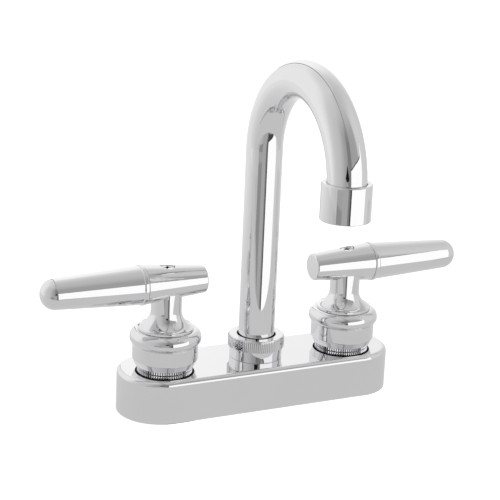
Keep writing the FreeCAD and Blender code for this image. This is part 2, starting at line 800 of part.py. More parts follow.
def make_stem(side, word):
    body = new_body(f"{word}_stem")
    bar = new_sketch(body, "driver_outline", "XY_Plane", out=DRIVER)
    half = "driver_width / 2"
    reach = f"sqrt({DISC_RADIUS}^2 - ({half})^2)"
    draw(bar, [(f"-{reach}", f"-{half}"), (reach, f"-{half}"), (reach, half), (f"-{reach}", half)])
    pad(body, "driver", bar, "driver_thickness")
    ring_floor = "(stem_radius - 2 * stem_ring_section)"
    ring_foot = f"{STEM_RING} - stem_ring_section - turning_fit"
    ring_top = f"{STEM_RING} + stem_ring_section + turning_fit"
    outline = [
        ("0", DRIVER),
        ("stem_radius", DRIVER),
        ("stem_radius", ring_foot),
        (ring_floor, ring_foot),
        (ring_floor, ring_top),
        ("stem_radius", ring_top),
        ("stem_radius", CLIP_FOOT),
        (CLIP_FLOOR, CLIP_FOOT),
        (CLIP_FLOOR, CLIP_TOP),
        ("stem_radius", CLIP_TOP),
        (BROACH_RADIUS, f"{CLIP_TOP} + broach_step / 2"),
        (BROACH_RADIUS, STEM_TOP),
        ("0", STEM_TOP),
    ]
    revolve(body, "shaft", outline)
    hole_foot = f"{STEM_TOP} - stem_hole_depth"
    hole = [("0", hole_foot), (SCREW_HOLE, hole_foot), (SCREW_HOLE, STEM_TOP), ("0", STEM_TOP)]
    turn_out(body, "screw_hole", hole)
    knurl(body, BROACH_RADIUS, BROACH_FOOT, "broach_length", "broach_tooth_depth", "broach_teeth")
    move_to_valve(body, side)


def make_stem_o_ring(side, word):
    section = "(stem_ring_section - turning_fit / 2)"
    inner = "(stem_radius - 2 * stem_ring_section + turning_fit / 2)"
    move_to_valve(o_ring(f"{word}_stem_o_ring", inner, section, STEM_RING), side)


def make_stem_clip(side, word):
    body = new_body(f"{word}_stem_clip", f"({CLIP_FOOT} + turning_fit)")
    bore = f"{CLIP_FLOOR} + turning_fit"
    reach = "stem_radius + clip_reach"
    edge = [(bore, "0"), (reach, "0"), (reach, "clip_thickness"), (bore, "clip_thickness")]
    revolve(body, "clip", edge, angle="360 - clip_opening")
    move_to_valve(body, side)


def make_escutcheon(side, word):
    body = new_body(f"{word}_escutcheon")
    inner = "(skirt_radius - skirt_wall)"
    way = f"({GUIDE_RADIUS} + turning_fit)"
    outline = [
        ("skirt_radius - skirt_foot_inset - skirt_wall", SKIRT_FOOT),
        ("skirt_radius - skirt_foot_inset", SKIRT_FOOT),
        ("skirt_radius", f"{SKIRT_FOOT} + skirt_foot_height", "skirt_foot_curve", 1),
        ("skirt_radius", SKIRT_TOP),
        ("skirt_radius - crease_depth", f"{SKIRT_TOP} + crease_height / 2"),
        ("skirt_radius", RIM_FOOT),
        (f"{RIM_CENTRE_RADIUS} + rim_section", RIM_CENTRE, "rim_section", 1),
        (RIM_CENTRE_RADIUS, ESCUTCHEON_TOP, "rim_section", 1),
        (way, ESCUTCHEON_TOP),
        (way, f"{ESCUTCHEON_TOP} - escutcheon_top"),
        (inner, f"{ESCUTCHEON_TOP} - escutcheon_top - (skirt_radius - {RIM_CENTRE_RADIUS})"),
        (inner, f"{SKIRT_FOOT} + skirt_foot_height"),
    ]
    revolve(body, "shell", outline)
    move_to_valve(body, side)


def make_handle_hub(side, word):
    body = new_body(f"{word}_handle_hub")
    lip_top = f"({BELL_FOOT} + bell_lip)"
    step = "(bell_radius - bell_neck_radius)"
    sweep_top = f"({lip_top} + sqrt(bell_sweep^2 - (bell_sweep - {step})^2))"
    bell = [
        ("0", BELL_FOOT),
        ("bell_radius", BELL_FOOT),
        ("bell_radius", lip_top),
        ("bell_neck_radius", sweep_top, "bell_sweep", -1),
        ("bell_neck_radius", BARREL_AXIS),
        ("0", BARREL_AXIS),
    ]
    revolve(body, "bell_and_neck", bell)
    edge = "barrel_edge_radius"
    barrel = [
        ("-barrel_inner_length", "0"),
        ("barrel_outer_length", "0"),
        ("barrel_outer_length", "lever_root_radius + joint_step"),
        (f"-barrel_inner_length + {edge}", "barrel_inner_radius"),
        ("-barrel_inner_length", f"barrel_inner_radius - {edge}", edge, 1),
    ]
    revolve(body, "barrel", barrel, axis="H_Axis", up=BARREL_AXIS)
    way = "(screw_radius + screw_way_gap)"
    socket = f"({BROACH_RADIUS} + turning_fit)"
    socket_end = f"({STEM_TOP} + socket_end_gap)"
    cavity = "(stem_radius + clip_reach + clip_room)"
    cavity_top = f"({CLIP_TOP} + broach_step / 2 + seat_gap)"
    above = f"({BARREL_AXIS} + {BEAD_RADIUS})"
    hollow = [
        ("0", BELL_FOOT),
        (cavity, BELL_FOOT),
        (cavity, cavity_top),
        (socket, cavity_top),
        (socket, socket_end),
        (way, socket_end),
        (way, SCREW_SEAT),
        ("screw_well_radius", SCREW_SEAT),
        ("screw_well_radius", above),
        ("0", above),
    ]
    turn_out(body, "screw_and_stem_way", hollow)
    socket_radius = "(spigot_radius + turning_fit)"
    start = f"barrel_outer_length - {SPIGOT_LENGTH} - spigot_end_gap"
    lever_socket = [
        (start, "0"),
        ("barrel_outer_length", "0"),
        ("barrel_outer_length", socket_radius),
        (start, socket_radius),
    ]
    turn_out(body, "lever_socket", lever_socket, axis="H_Axis", up=BARREL_AXIS)
    move_to_valve(body, side)


def make_lever(side, word):
    body = new_body(f"{word}_lever", BARREL_AXIS)
    spigot_end = f"barrel_outer_length - {SPIGOT_LENGTH}"
    crown = "(bead_width^2 / 8 / bead_height + bead_height / 2)"
    outline = [
        (spigot_end, "0"),
        ("lever_reach", "0"),
        ("lever_reach - lever_tip_radius", "lever_tip_radius", "lever_tip_radius", 1),
        ("barrel_outer_length + bead_width", "lever_root_radius"),
        ("barrel_outer_length", "lever_root_radius", crown, 1),
        ("barrel_outer_length", "spigot_radius"),
        (spigot_end, "spigot_radius"),
    ]
    revolve(body, "lever", outline, axis="H_Axis")
    move_to_valve(body, side)


def make_handle_screw(side, word):
    body = new_body(f"{word}_handle_screw", SCREW_SEAT)
    head = "(screw_well_radius - screw_well_gap)"
    tip = f"-({SCREW_SEAT} - {STEM_TOP} + screw_engagement)"
    dome = f"({head}^2 / 2 / screw_head_dome + screw_head_dome / 2)"
    outline = [
        ("0", tip),
        ("screw_radius - screw_point", tip),
        ("screw_radius", f"{tip} + screw_point"),
        ("screw_radius", "0"),
        (head, "0"),
        (head, "screw_head_height - screw_head_dome"),
        ("0", "screw_head_height", dome, 1),
    ]
    revolve(body, "screw", outline)
    cross = new_sketch(body, "cross_outline", "XY_Plane", out="screw_head_height")
    near, far = "cross_width / 2", "cross_reach"
    arm = [(far, near), (near, near), (near, far), (f"-{near}", far), (f"-{near}", near), (f"-{far}", near)]
    opposite = [tuple(place[1:] if place[0] == "-" else f"-{place}" for place in corner) for corner in arm]
    draw(cross, arm + opposite)
    pocket(body, "cross_recess", cross, "cross_depth", upwards=False)
    move_to_valve(body, side)


make_base_cover()
make_deck_gasket()
make_spout_hub()
make_mixing_tube("left_mixing_tube", -1)
make_mixing_tube("right_mixing_tube", 1)
washer("friction_washer", "hub_bore", HUB_NECK_RADIUS, "washer_thickness", HUB_TOP)
make_spout_ferrule()
make_spout_o_rings()
make_spout_nut()
make_spout()
make_outlet_adapter()
make_aerator_housing()
make_aerator_washer()
make_aerator_insert()
make_aerator_screen()
for side, word in ((-1, "left"), (1, "right")):
    make_valve_body(side, word)
    make_retaining_ring(side, word)
    make_bonnet(side, word)
    make_bonnet_o_ring(side, word)
    make_seat_seal(side, word)
    make_disc(side, word, "fixed", FIXED_DISC)
    make_disc(side, word, "moving", MOVING_DISC)
    make_stem(side, word)
    make_stem_o_ring(side, word)
    make_stem_clip(side, word)
    make_escutcheon(side, word)
    make_handle_hub(side, word)
    make_lever(side, word)
    make_handle_screw(side, word)
document.recompute()

# Checks, then one file for each piece
for thing in document.Objects:
    if {"Invalid", "Error"} & set(thing.State):
        raise ValueError(f"{thing.Name} ({thing.Label}) failed: {thing.State}")
os.makedirs("parts", exist_ok=True)
for piece in pieces:
    shape = piece.Shape
    if shape.isNull() or not shape.isValid():
        raise ValueError(f"{piece.Label} has no valid shape")
    shape.exportStep(f"parts/{piece.Label}.step")
    print(f"{piece.Label}: {len(shape.Solids)} solid, {shape.Volume:.0f} mm3, state {piece.State}")
print(f"{len(pieces)} pieces")
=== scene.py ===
# %% [markdown]
# # A bar faucet in polished chrome
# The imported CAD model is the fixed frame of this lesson. It says where every piece is, how large
# it is and which body it moves with. Blender adds the looks: finer surfaces on the plated pieces,
# a material for every piece, the light and the camera. The first step loads the frame and keeps
# its box, because nothing that is made later may reach outside it.

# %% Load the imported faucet
import json
import math
import bmesh
import bpy
from mathutils import Matrix, Vector


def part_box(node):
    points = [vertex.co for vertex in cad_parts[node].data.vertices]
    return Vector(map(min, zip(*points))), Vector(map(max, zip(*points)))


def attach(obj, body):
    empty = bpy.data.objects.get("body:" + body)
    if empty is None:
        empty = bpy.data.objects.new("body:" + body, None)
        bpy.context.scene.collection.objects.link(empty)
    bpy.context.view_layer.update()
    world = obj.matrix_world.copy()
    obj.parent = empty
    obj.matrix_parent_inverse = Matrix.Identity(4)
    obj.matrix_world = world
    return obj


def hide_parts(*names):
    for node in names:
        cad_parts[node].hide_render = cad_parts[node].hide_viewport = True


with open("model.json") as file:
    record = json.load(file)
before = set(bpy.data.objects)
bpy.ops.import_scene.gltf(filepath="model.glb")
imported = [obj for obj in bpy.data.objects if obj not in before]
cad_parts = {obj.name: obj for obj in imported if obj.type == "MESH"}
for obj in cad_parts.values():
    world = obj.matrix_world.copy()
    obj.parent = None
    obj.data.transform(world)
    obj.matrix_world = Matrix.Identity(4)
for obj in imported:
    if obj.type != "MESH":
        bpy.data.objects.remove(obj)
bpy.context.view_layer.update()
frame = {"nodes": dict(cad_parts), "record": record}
homes = {node: body for body, nodes in frame["record"]["behaviour"]["bodies"].items()
         for node in nodes}
print("bodies:", sorted(set(homes.values())), "nodes:", len(homes))

# %% [markdown]
# ## One group for the small changes in every finish
# No real surface has the same colour and polish all over. Plating is a little cloudy, cast brass
# is grainy and rubber is dusty. All of these could be painted, but a noise that reads Object
# coordinates stays on the piece when it moves, and needs no picture. The group gives a colour, a
# roughness and a height, and each material places it with its own values.

# %% Make the shared group of clouds and grain
CLOUD_DETAIL, GRAIN_DETAIL, GRAIN_SHARE = 3.0, 2.0, 0.35


def make_cloud_group():
    group = bpy.data.node_groups.new("clouds_and_grain", "ShaderNodeTree")
    sockets = {
        "INPUT": (("Position", "Vector"), ("Light tone", "Color"), ("Dark tone", "Color"),
                  ("Cloud scale", "Float"), ("Grain scale", "Float"),
                  ("Least roughness", "Float"), ("Most roughness", "Float")),
        "OUTPUT": (("Colour", "Color"), ("Roughness", "Float"), ("Height", "Float")),
    }
    for way, rows in sockets.items():
        for name, kind in rows:
            group.interface.new_socket(name, in_out=way, socket_type="NodeSocket" + kind)
    source = group.nodes.new("NodeGroupInput")
    result = group.nodes.new("NodeGroupOutput")
    cloud = group.nodes.new("ShaderNodeTexNoise")
    cloud.inputs["Detail"].default_value = CLOUD_DETAIL
    grain = group.nodes.new("ShaderNodeTexNoise")
    grain.inputs["Detail"].default_value = GRAIN_DETAIL
    tone = group.nodes.new("ShaderNodeMix")
    tone.data_type = "RGBA"
    polish = group.nodes.new("ShaderNodeMapRange")
    height = group.nodes.new("ShaderNodeMath")
    height.operation = "MULTIPLY_ADD"
    height.inputs[1].default_value = GRAIN_SHARE
    link = group.links.new
    for noise, scale in ((cloud, "Cloud scale"), (grain, "Grain scale")):
        link(source.outputs["Position"], noise.inputs["Vector"])
        link(source.outputs[scale], noise.inputs["Scale"])
    link(cloud.outputs["Fac"], tone.inputs["Factor"])
    link(source.outputs["Light tone"], tone.inputs["A"])
    link(source.outputs["Dark tone"], tone.inputs["B"])
    link(cloud.outputs["Fac"], polish.inputs["Value"])
    link(source.outputs["Least roughness"], polish.inputs["To Min"])
    link(source.outputs["Most roughness"], polish.inputs["To Max"])
    link(grain.outputs["Fac"], height.inputs[0])
    link(cloud.outputs["Fac"], height.inputs[2])
    link(tone.outputs["Result"], result.inputs["Colour"])
    link(polish.outputs["Result"], result.inputs["Roughness"])
    link(height.outputs["Value"], result.inputs["Height"])
    return group


clouds = make_cloud_group()
print("group:", clouds.name, "with", len(clouds.nodes), "nodes")

# %% [markdown]
# ## How a finish is made
# Each finish is one Principled shader that is fed by the group. Its colour and its polish change
# a little from place to place, and its height goes through a Bump node, which is enough for
# relief that is too fine to see in the outline.

# %% Make one finish
def make_finish(name, light, dark, scales, polish, relief, metallic):
    material = bpy.data.materials.new(name + "_finish")
    material.use_nodes = True
    tree = material.node_tree
    shader = tree.nodes["Principled BSDF"]
    shader.inputs["Metallic"].default_value = metallic
    place = tree.nodes.new("ShaderNodeTexCoord")
    group = tree.nodes.new("ShaderNodeGroup")
    group.node_tree = clouds
    bump = tree.nodes.new("ShaderNodeBump")
    bump.inputs["Strength"].default_value = relief[0]
    bump.inputs["Distance"].default_value = relief[1]
    values = {
        "Light tone": (*light, 1), "Dark tone": (*dark, 1),
        "Cloud scale": scales[0], "Grain scale": scales[1],
        "Least roughness": polish[0], "Most roughness": polish[1],
    }
    for socket, value in values.items():
        group.inputs[socket].default_value = value
    tree.links.new(place.outputs["Object"], group.inputs["Position"])
    tree.links.new(group.outputs["Colour"], shader.inputs["Base Color"])
    tree.links.new(group.outputs["Roughness"], shader.inputs["Roughness"])
    tree.links.new(group.outputs["Height"], bump.inputs["Height"])
    tree.links.new(bump.outputs["Normal"], shader.inputs["Normal"])
    return material


# %% [markdown]
# ## The finishes
# The outside is bright chrome plate. Chrome has no colour of its own to speak of: it shows the
# room. So its base colour is a light neutral grey, its metallic value is one, and its roughness
# is only a few hundredths, with a very shallow wave like that left by the polishing wheel. Inside
# and under the deck are raw brass, copper, stainless steel, rubber, plastics and ceramic, which
# show only from below or where the faucet is opened. Three more are for parts of a piece, and
# they paint light and shade. A darker chrome is painted shade in the grooves between ribs. A near
# black is painted shade in gaps that no light reaches. Ribs that were rolled and not polished get
# a rougher chrome, and its lighter colour is a painted highlight.

# %% Make a material for each finish
METAL, NO_METAL = 1, 0
# Light tone, dark tone, scales of cloud and grain, least and most roughness, strength and
# distance of the relief, metallic.
LOOKS = {
    "chrome_plate": ((0.84, 0.84, 0.85), (0.8, 0.8, 0.81), (35, 160),
                     (0.02, 0.06), (0.1, 0.0001), METAL),
    "raw_brass": ((0.78, 0.57, 0.27), (0.62, 0.42, 0.17), (90, 900),
                  (0.26, 0.42), (0.3, 0.0002), METAL),
    "copper_tube": ((0.82, 0.45, 0.29), (0.6, 0.28, 0.16), (70, 500),
                    (0.22, 0.4), (0.2, 0.0001), METAL),
    "stainless_steel": ((0.66, 0.65, 0.63), (0.54, 0.53, 0.52), (120, 1200),
                        (0.24, 0.36), (0.2, 0.0001), METAL),
    "seal_rubber": ((0.025, 0.025, 0.027), (0.012, 0.012, 0.013), (150, 1500),
                    (0.45, 0.62), (0.2, 0.0001), NO_METAL),
    "gasket_rubber": ((0.05, 0.05, 0.052), (0.022, 0.022, 0.024), (60, 900),
                      (0.6, 0.8), (0.4, 0.0002), NO_METAL),
    "slide_plastic": ((0.75, 0.74, 0.7), (0.66, 0.65, 0.6), (80, 800),
                      (0.3, 0.42), (0.15, 0.0001), NO_METAL),
    "insert_plastic": ((0.72, 0.73, 0.74), (0.6, 0.61, 0.63), (90, 700),
                       (0.35, 0.5), (0.15, 0.0001), NO_METAL),
    "ceramic_disc": ((0.86, 0.85, 0.81), (0.78, 0.77, 0.73), (100, 1400),
                     (0.12, 0.22), (0.1, 0.0001), NO_METAL),
}
PART_LOOKS = {
    # Painted shade: a darker copy of the chrome for the grooves between ribs.
    "groove": ((0.5, 0.5, 0.51), (0.34, 0.34, 0.35), (60, 400),
               (0.15, 0.3), (0.1, 0.0001), METAL),
    # Painted shade: a near black for gaps and undersides that no light reaches.
    "painted_shade": ((0.02, 0.02, 0.021), (0.008, 0.008, 0.008), (60, 400),
            (0.5, 0.7), (0.1, 0.0001), NO_METAL),
    # Partly painted highlight: rolled ribs are rougher, and their lighter colour stands in for the
    # light their crests catch.
    "rolled_highlight": ((0.9, 0.9, 0.91), (0.84, 0.84, 0.85), (60, 400),
               (0.08, 0.14), (0.1, 0.0001), METAL),
}
# The painted shade keeps only a little shine of its own, so that it stays dark.
PAINTED_SHADE_SHINE = 0.05
finishes = {name: make_finish(name, *look) for name, look in LOOKS.items()}
part_finishes = {name: make_finish(name, *look) for name, look in PART_LOOKS.items()}
painted_shade_shader = part_finishes["painted_shade"].node_tree.nodes["Principled BSDF"]
painted_shade_shader.inputs["Specular IOR Level"].default_value = PAINTED_SHADE_SHINE
print("finishes:", ", ".join([*finishes, *part_finishes]))

# %% [markdown]
# ## Helpers for turned pieces
# Most of a faucet is turned on a lathe, and a modeller can do the same: draw half of the outline,
# round its corners, and spin it about the axis. Every corner is given as (radius, height), with a
# rounding radius where the real corner is soft. The outline is drawn in millimetres, as on the
# drawing, and a piece is made metres when it is finished.

# %% Draw, round and spin an outline
MERGE, FULL_TURN = 0.001, 128
LEAST_STEPS, MOST_STEPS, STEPS_PER_MM = 3, 20, 3


def soften(bm, verts, corners):
    for index, corner in enumerate(corners):
        if len(corner) < 3:
            continue
        here = Vector(corner[:2])
        back = here - Vector(corners[index - 1][:2])
        ahead = Vector(corners[(index + 1) % len(corners)][:2]) - here
        reach = corner[2] * math.tan(back.angle(ahead) / 2)
        steps = max(LEAST_STEPS, min(MOST_STEPS, round(corner[2] * STEPS_PER_MM)))
        bmesh.ops.bevel(bm, geom=[verts[index]], offset=reach, offset_type="OFFSET",
                        segments=steps, profile=0.5, affect="VERTICES", material=-1)


def turned(corners, ring=True, steps=FULL_TURN):
    bm = bmesh.new()
    verts = [bm.verts.new((corner[0], 0, corner[1])) for corner in corners]
    for start, end in zip(verts, verts[1:]):
        bm.edges.new((start, end))
    if ring:
        bm.edges.new((verts[-1], verts[0]))
    soften(bm, verts, corners)
    bmesh.ops.spin(bm, geom=bm.verts[:] + bm.edges[:], cent=(0, 0, 0), axis=(0, 0, 1),
                   dvec=(0, 0, 0), angle=2 * math.pi, steps=steps, use_merge=True)
    bmesh.ops.remove_doubles(bm, verts=bm.verts, dist=MERGE)
    bmesh.ops.recalc_face_normals(bm, faces=bm.faces)
    return bm


print("steps in a full turn:", FULL_TURN, "and in a corner:", LEAST_STEPS, "to", MOST_STEPS)

# %% [markdown]
# ## Helpers for joining and cutting
# Castings and drilled holes are joined and cut with the Boolean modifier, whose exact solver
# keeps every wall. A hole is cut with a plain rod, as a drill does.

# %% Join and cut
def plain_object(bm, name):
    mesh = bpy.data.meshes.new(name)
    bm.to_mesh(mesh)
    bm.free()
    piece = bpy.data.objects.new(name, mesh)
    bpy.context.scene.collection.objects.link(piece)
    return piece


def combined(bm, tool_bm, operation):
    work = plain_object(bm, "work")
    tool = plain_object(tool_bm, "tool")
    modifier = work.modifiers.new("combine", "BOOLEAN")
    modifier.operation = operation
    modifier.solver = "EXACT"
    modifier.object = tool
    bpy.context.view_layer.update()
    result = bmesh.new()
    result.from_mesh(work.evaluated_get(bpy.context.evaluated_depsgraph_get()).to_mesh())
    for used in (work, tool):
        bpy.data.objects.remove(used)
    bmesh.ops.remove_doubles(result, verts=result.verts, dist=MERGE / 2)
    return result


def rod(radius, low, high, x=0, segments=64):
    bm = bmesh.new()
    bmesh.ops.create_cone(bm, cap_ends=True, segments=segments, radius1=radius, radius2=radius,
                          depth=high - low, matrix=Matrix.Translation((x, 0, (low + high) / 2)))
    return bm


print("after a cut, points closer than", MERGE / 2, "mm are one point")

# %% [markdown]
# ## Finishing a piece
# A finished piece is scaled to metres, shaded smooth with its hard edges kept sharp, and given
# weighted normals so that a flat face stays flat beside its rounded edge. In chrome the smallest
# error in a normal shows at once. The piece then takes the place of its CAD node and rides on the
# same body.

# %% Scale, shade and place a piece
MM, SHARP = 0.001, math.radians(38)


def finished(bm, name, node, slot="chrome_plate", others=("painted_shade",)):
    bmesh.ops.scale(bm, vec=(MM, MM, MM), verts=bm.verts)
    piece = plain_object(bm, name)
    piece.data.shade_smooth()
    piece.data.set_sharp_from_angle(angle=SHARP)
    weights = piece.modifiers.new("flat faces stay flat", "WEIGHTED_NORMAL")
    weights.keep_sharp = True
    piece.data.materials.append(finishes[slot])
    for other in others[:max(face.material_index for face in piece.data.polygons)]:
        piece.data.materials.append(part_finishes[other])
    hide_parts(node)
    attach(piece, homes[node])
    low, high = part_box(node)
    own = [vert.co for vert in piece.data.vertices]
    off = max(max(abs(min(co[axis] for co in own) - low[axis]),
                  abs(max(co[axis] for co in own) - high[axis])) for axis in range(3))
    print(f"{name}: {len(piece.data.polygons)} faces, its box within {off / MM:.2f} mm of {node}")
    return piece


print("edges over", round(math.degrees(SHARP)), "degrees stay sharp")

# %% [markdown]
# ## The base cover
# The base is one pressed and polished shell with round ends. It could be a subdivided box, but
# then the ends would only be nearly round. Here a flat rectangle gets its four corners bevelled,
# is extruded up, and gets a small round on its top edge. A wall is then made inwards, and three
# holes are cut.

# %% Make the base cover
BASE_HALF, BASE_SIDE, BASE_TOP = 75.1, 21.9, 22.0
BASE_END, END_STEPS = 21.5, 28
BASE_ROUND, ROUND_STEPS = 2.6, 7
BASE_WALL, HOLE_CUT, HOLE_STEPS = 1.8, 6, 96
VALVE, VALVE_HOLE, SPOUT_HOLE = 50.8, 12.8, 11.4


def only_verts(geom):
    return [part for part in geom if isinstance(part, bmesh.types.BMVert)]


def face_outwards(bm, face, outwards):
    if face.normal.dot(outwards) < 0:
        bmesh.ops.reverse_faces(bm, faces=bm.faces)


bm = bmesh.new()
bmesh.ops.create_grid(bm, x_segments=1, y_segments=1, size=1)
bmesh.ops.scale(bm, vec=(BASE_HALF, BASE_SIDE, 1), verts=bm.verts)
bmesh.ops.bevel(bm, geom=bm.verts[:], offset=BASE_END, offset_type="OFFSET", segments=END_STEPS,
                profile=0.5, affect="VERTICES", material=-1)
foot = bm.faces[:]
top = only_verts(bmesh.ops.extrude_face_region(bm, geom=foot)["geom"])
bmesh.ops.translate(bm, vec=(0, 0, BASE_TOP), verts=top)
bmesh.ops.delete(bm, geom=foot, context="FACES_ONLY")
edge = [e for e in bm.edges if all(abs(v.co.z - BASE_TOP) < MERGE for v in e.verts)]
bmesh.ops.bevel(bm, geom=edge, offset=BASE_ROUND, offset_type="OFFSET", segments=ROUND_STEPS,
                profile=0.5, affect="EDGES", material=-1)
bmesh.ops.recalc_face_normals(bm, faces=bm.faces)
face_outwards(bm, max(bm.faces, key=lambda face: face.calc_area()), Vector((0, 0, 1)))
bmesh.ops.solidify(bm, geom=bm.faces[:], thickness=BASE_WALL)
for x, radius in ((-VALVE, VALVE_HOLE), (0, SPOUT_HOLE), (VALVE, VALVE_HOLE)):
    drill = rod(radius, BASE_TOP - HOLE_CUT, BASE_TOP + HOLE_CUT, x, HOLE_STEPS)
    bm = combined(bm, drill, "DIFFERENCE")
finished(bm, "base_cover_skin", "base_cover")

# %% [markdown]
# ## Knurled bands
# The coupling nut and the two retaining rings have fine straight ribs, so that fingers grip them.
# Ribs could be a bump, but their outline shows against the light, so they are real. A circle with
# four points for each rib gets two of the four moved in, and then grows upwards ring by ring. The
# widths of crest and root are shares of the pitch. A narrow crest leaves sloping flanks, and each
# flank then catches its own spark of light.

# %% Make a ribbed band
PLATE, SECOND, THIRD = 0, 1, 2
EVEN_SPACING, IN_THE_GROOVE, UPRIGHT = 0.25, 0.8, 0.3


def next_ring(bm, edges):
    grown = bmesh.ops.extrude_edge_only(bm, edges=edges)["geom"]
    verts = only_verts(grown)
    kept = set(verts)
    rim = [part for part in grown
           if isinstance(part, bmesh.types.BMEdge) and set(part.verts) <= kept]
    return verts, rim


def ribbed(teeth, depth, crest, root, rings):
    bm = bmesh.new()
    bmesh.ops.create_circle(bm, cap_ends=False, segments=4 * teeth, radius=rings[0][0])
    share = 1 - depth / rings[0][0]
    bmesh.ops.scale(bm, vec=(share, share, 1),
                    verts=[v for i, v in enumerate(bm.verts) if i % 4 > 1])
    for place, width, way in ((0, crest, -1), (1, crest, 1), (2, root, -1), (3, root, 1)):
        turn = way * (width - EVEN_SPACING) * math.pi / teeth
        bmesh.ops.rotate(bm, cent=(0, 0, 0), matrix=Matrix.Rotation(turn, 3, "Z"),
                         verts=[v for i, v in enumerate(bm.verts) if i % 4 == place])
    bmesh.ops.translate(bm, vec=(0, 0, rings[0][1]), verts=bm.verts)
    edges = bm.edges[:]
    for (r0, z0), (r1, z1) in zip(rings, rings[1:]):
        verts, edges = next_ring(bm, edges)
        bmesh.ops.scale(bm, vec=(r1 / r0, r1 / r0, 1), verts=verts)
        bmesh.ops.translate(bm, vec=(0, 0, z1 - z0), verts=verts)
    bmesh.ops.remove_doubles(bm, verts=bm.verts, dist=MERGE)
    bmesh.ops.recalc_face_normals(bm, faces=bm.faces)
    # Faces deep in each groove take the second finish, which is painted shade in the grooves.
    inner = max(radius for radius, height in rings) - IN_THE_GROOVE * depth
    for face in bm.faces:
        if face.calc_center_median().xy.length < inner and abs(face.normal.z) < UPRIGHT:
            face.material_index = SECOND
    return bm


def with_band(bm, band):
    spare = bpy.data.meshes.new("band")
    band.to_mesh(spare)
    band.free()
    bm.from_mesh(spare)
    bpy.data.meshes.remove(spare)
    return bm


print("points of a rib before they are moved:", EVEN_SPACING, "of the pitch apart")

# %% [markdown]
# ## The coupling nut
# The nut holds the spout down. Below its ribbed band it is plain and widens a little upwards, and
# its top has a small chamfer and a hole round the tube, with a ledge that lies in its own shade
# and is painted near black for it. The ribs are rolled into the turned body, so the ribbed band is
# laid over it, with painted shade in its grooves.

# %% Make the coupling nut
NUT_RIBS, NUT_HOLE = 90, 10.05
LEDGE_INSIDE, LEDGE_FOOT, LEDGE_TOP = 9.45, 30.6, 33.2
body = turned([
    (11.25, 22.0), (13.5, 22.0, 0.3), (13.7, 27.8), (14.25, 28.0, 0.1), (14.25, 33.4),
    (13.9, 34.0, 0.3), (NUT_HOLE, 34.0, 0.3), (NUT_HOLE, LEDGE_TOP), (LEDGE_INSIDE, LEDGE_TOP),
    (LEDGE_INSIDE, LEDGE_FOOT), (11.25, LEDGE_FOOT),
])
# The ledge round the tube is painted near black: painted shade.
for face in body.faces:
    middle = face.calc_center_median()
    if middle.xy.length < NUT_HOLE - 0.01 and middle.z > LEDGE_FOOT + 0.1:
        face.material_index = THIRD
band = ribbed(teeth=NUT_RIBS, depth=0.3, crest=0.475, root=0.25, rings=[
    (13.8, 27.8), (14.35, 27.8), (14.6, 28.05), (14.6, 33.0), (14.3, 33.5), (13.8, 33.5),
    (13.8, 27.8),
])
# The nut's grooves and its ledge take the two painted shade finishes.
finished(with_band(body, band), "spout_nut_skin", "spout_nut", others=("groove", "painted_shade"))

# %% [markdown]
# ## The spout tube
# A gooseneck is a straight tube that is bent over a former. A curve with a bevel would do, but a
# circle that is extruded, spun over half a turn and extruded again is exactly what the bending
# machine makes, and its rings stay square to the tube. A Solidify modifier gives the wall.

# %% Make the spout tube
TUBE, TUBE_STEPS, TUBE_WALL = 9.25, 96, 1
TUBE_FOOT, RISES = 30.3, (33.7, 33.7, 33.6)
BEND, BEND_FOOT, BEND_STEPS, OUTLET_DROP = 42.1, 131.3, 112, 5.3
bm = bmesh.new()
bmesh.ops.create_circle(bm, cap_ends=False, segments=TUBE_STEPS, radius=TUBE)
bmesh.ops.translate(bm, vec=(0, 0, TUBE_FOOT), verts=bm.verts)
edges = bm.edges[:]
for rise in RISES:
    verts, edges = next_ring(bm, edges)
    bmesh.ops.translate(bm, vec=(0, 0, rise), verts=verts)
bent = bmesh.ops.spin(bm, geom=verts + edges, cent=(0, -BEND, BEND_FOOT), axis=(1, 0, 0),
                      dvec=(0, 0, 0), angle=math.pi, steps=BEND_STEPS, use_merge=False)
edges = [part for part in bent["geom_last"] if isinstance(part, bmesh.types.BMEdge)]
verts, edges = next_ring(bm, edges)
bmesh.ops.translate(bm, vec=(0, 0, -OUTLET_DROP), verts=verts)
bmesh.ops.remove_doubles(bm, verts=bm.verts, dist=MERGE)
bmesh.ops.recalc_face_normals(bm, faces=bm.faces)
lowest = min(bm.faces, key=lambda face: face.calc_center_median().z)
face_outwards(bm, lowest, Vector((*lowest.calc_center_median().xy, 0)))
spout_skin = finished(bm, "spout_tube_skin", "spout")
wall = spout_skin.modifiers.new("tube wall", "SOLIDIFY")
wall.thickness = TUBE_WALL * MM
wall.offset = -1
spout_skin.modifiers.move(1, 0)

# %% [markdown]
# ## The aerator housing
# The sleeve at the outlet screws onto the spout and holds the screen. It is a short turned cup,
# with a hole for the tube in its roof, a lip at its mouth, and a fine round on both outer edges.
# It is turned at the origin and then moved under the outlet, two bend radii to the front.

# %% Make the aerator housing
cup = turned([
    (9.6, 117.3), (11.8, 117.3, 0.5), (11.8, 134.6, 0.5), (9.42, 134.6, 0.12), (9.42, 133.2),
    (10.6, 133.2), (10.6, 118.5), (9.6, 118.5),
])
bmesh.ops.translate(cup, vec=(0, -2 * BEND, 0), verts=cup.verts)
finished(cup, "aerator_housing_skin", "aerator_housing")

# %% [markdown]
# ## The two sides
# The handles mirror each other. Each side is drawn about its own valve axis with its lever along
# +X, and the left one is turned half a turn before both are moved to their valve centres, exactly
# as the CAD does it.

# %% Send a piece to its side
SIDES = (("left", -VALVE, math.pi), ("right", VALVE, 0.0))


def at_side(bm, shift, turn):
    bmesh.ops.rotate(bm, cent=(0, 0, 0), matrix=Matrix.Rotation(turn, 3, "Z"), verts=bm.verts)
    bmesh.ops.translate(bm, vec=(shift, 0, 0), verts=bm.verts)
    return bm


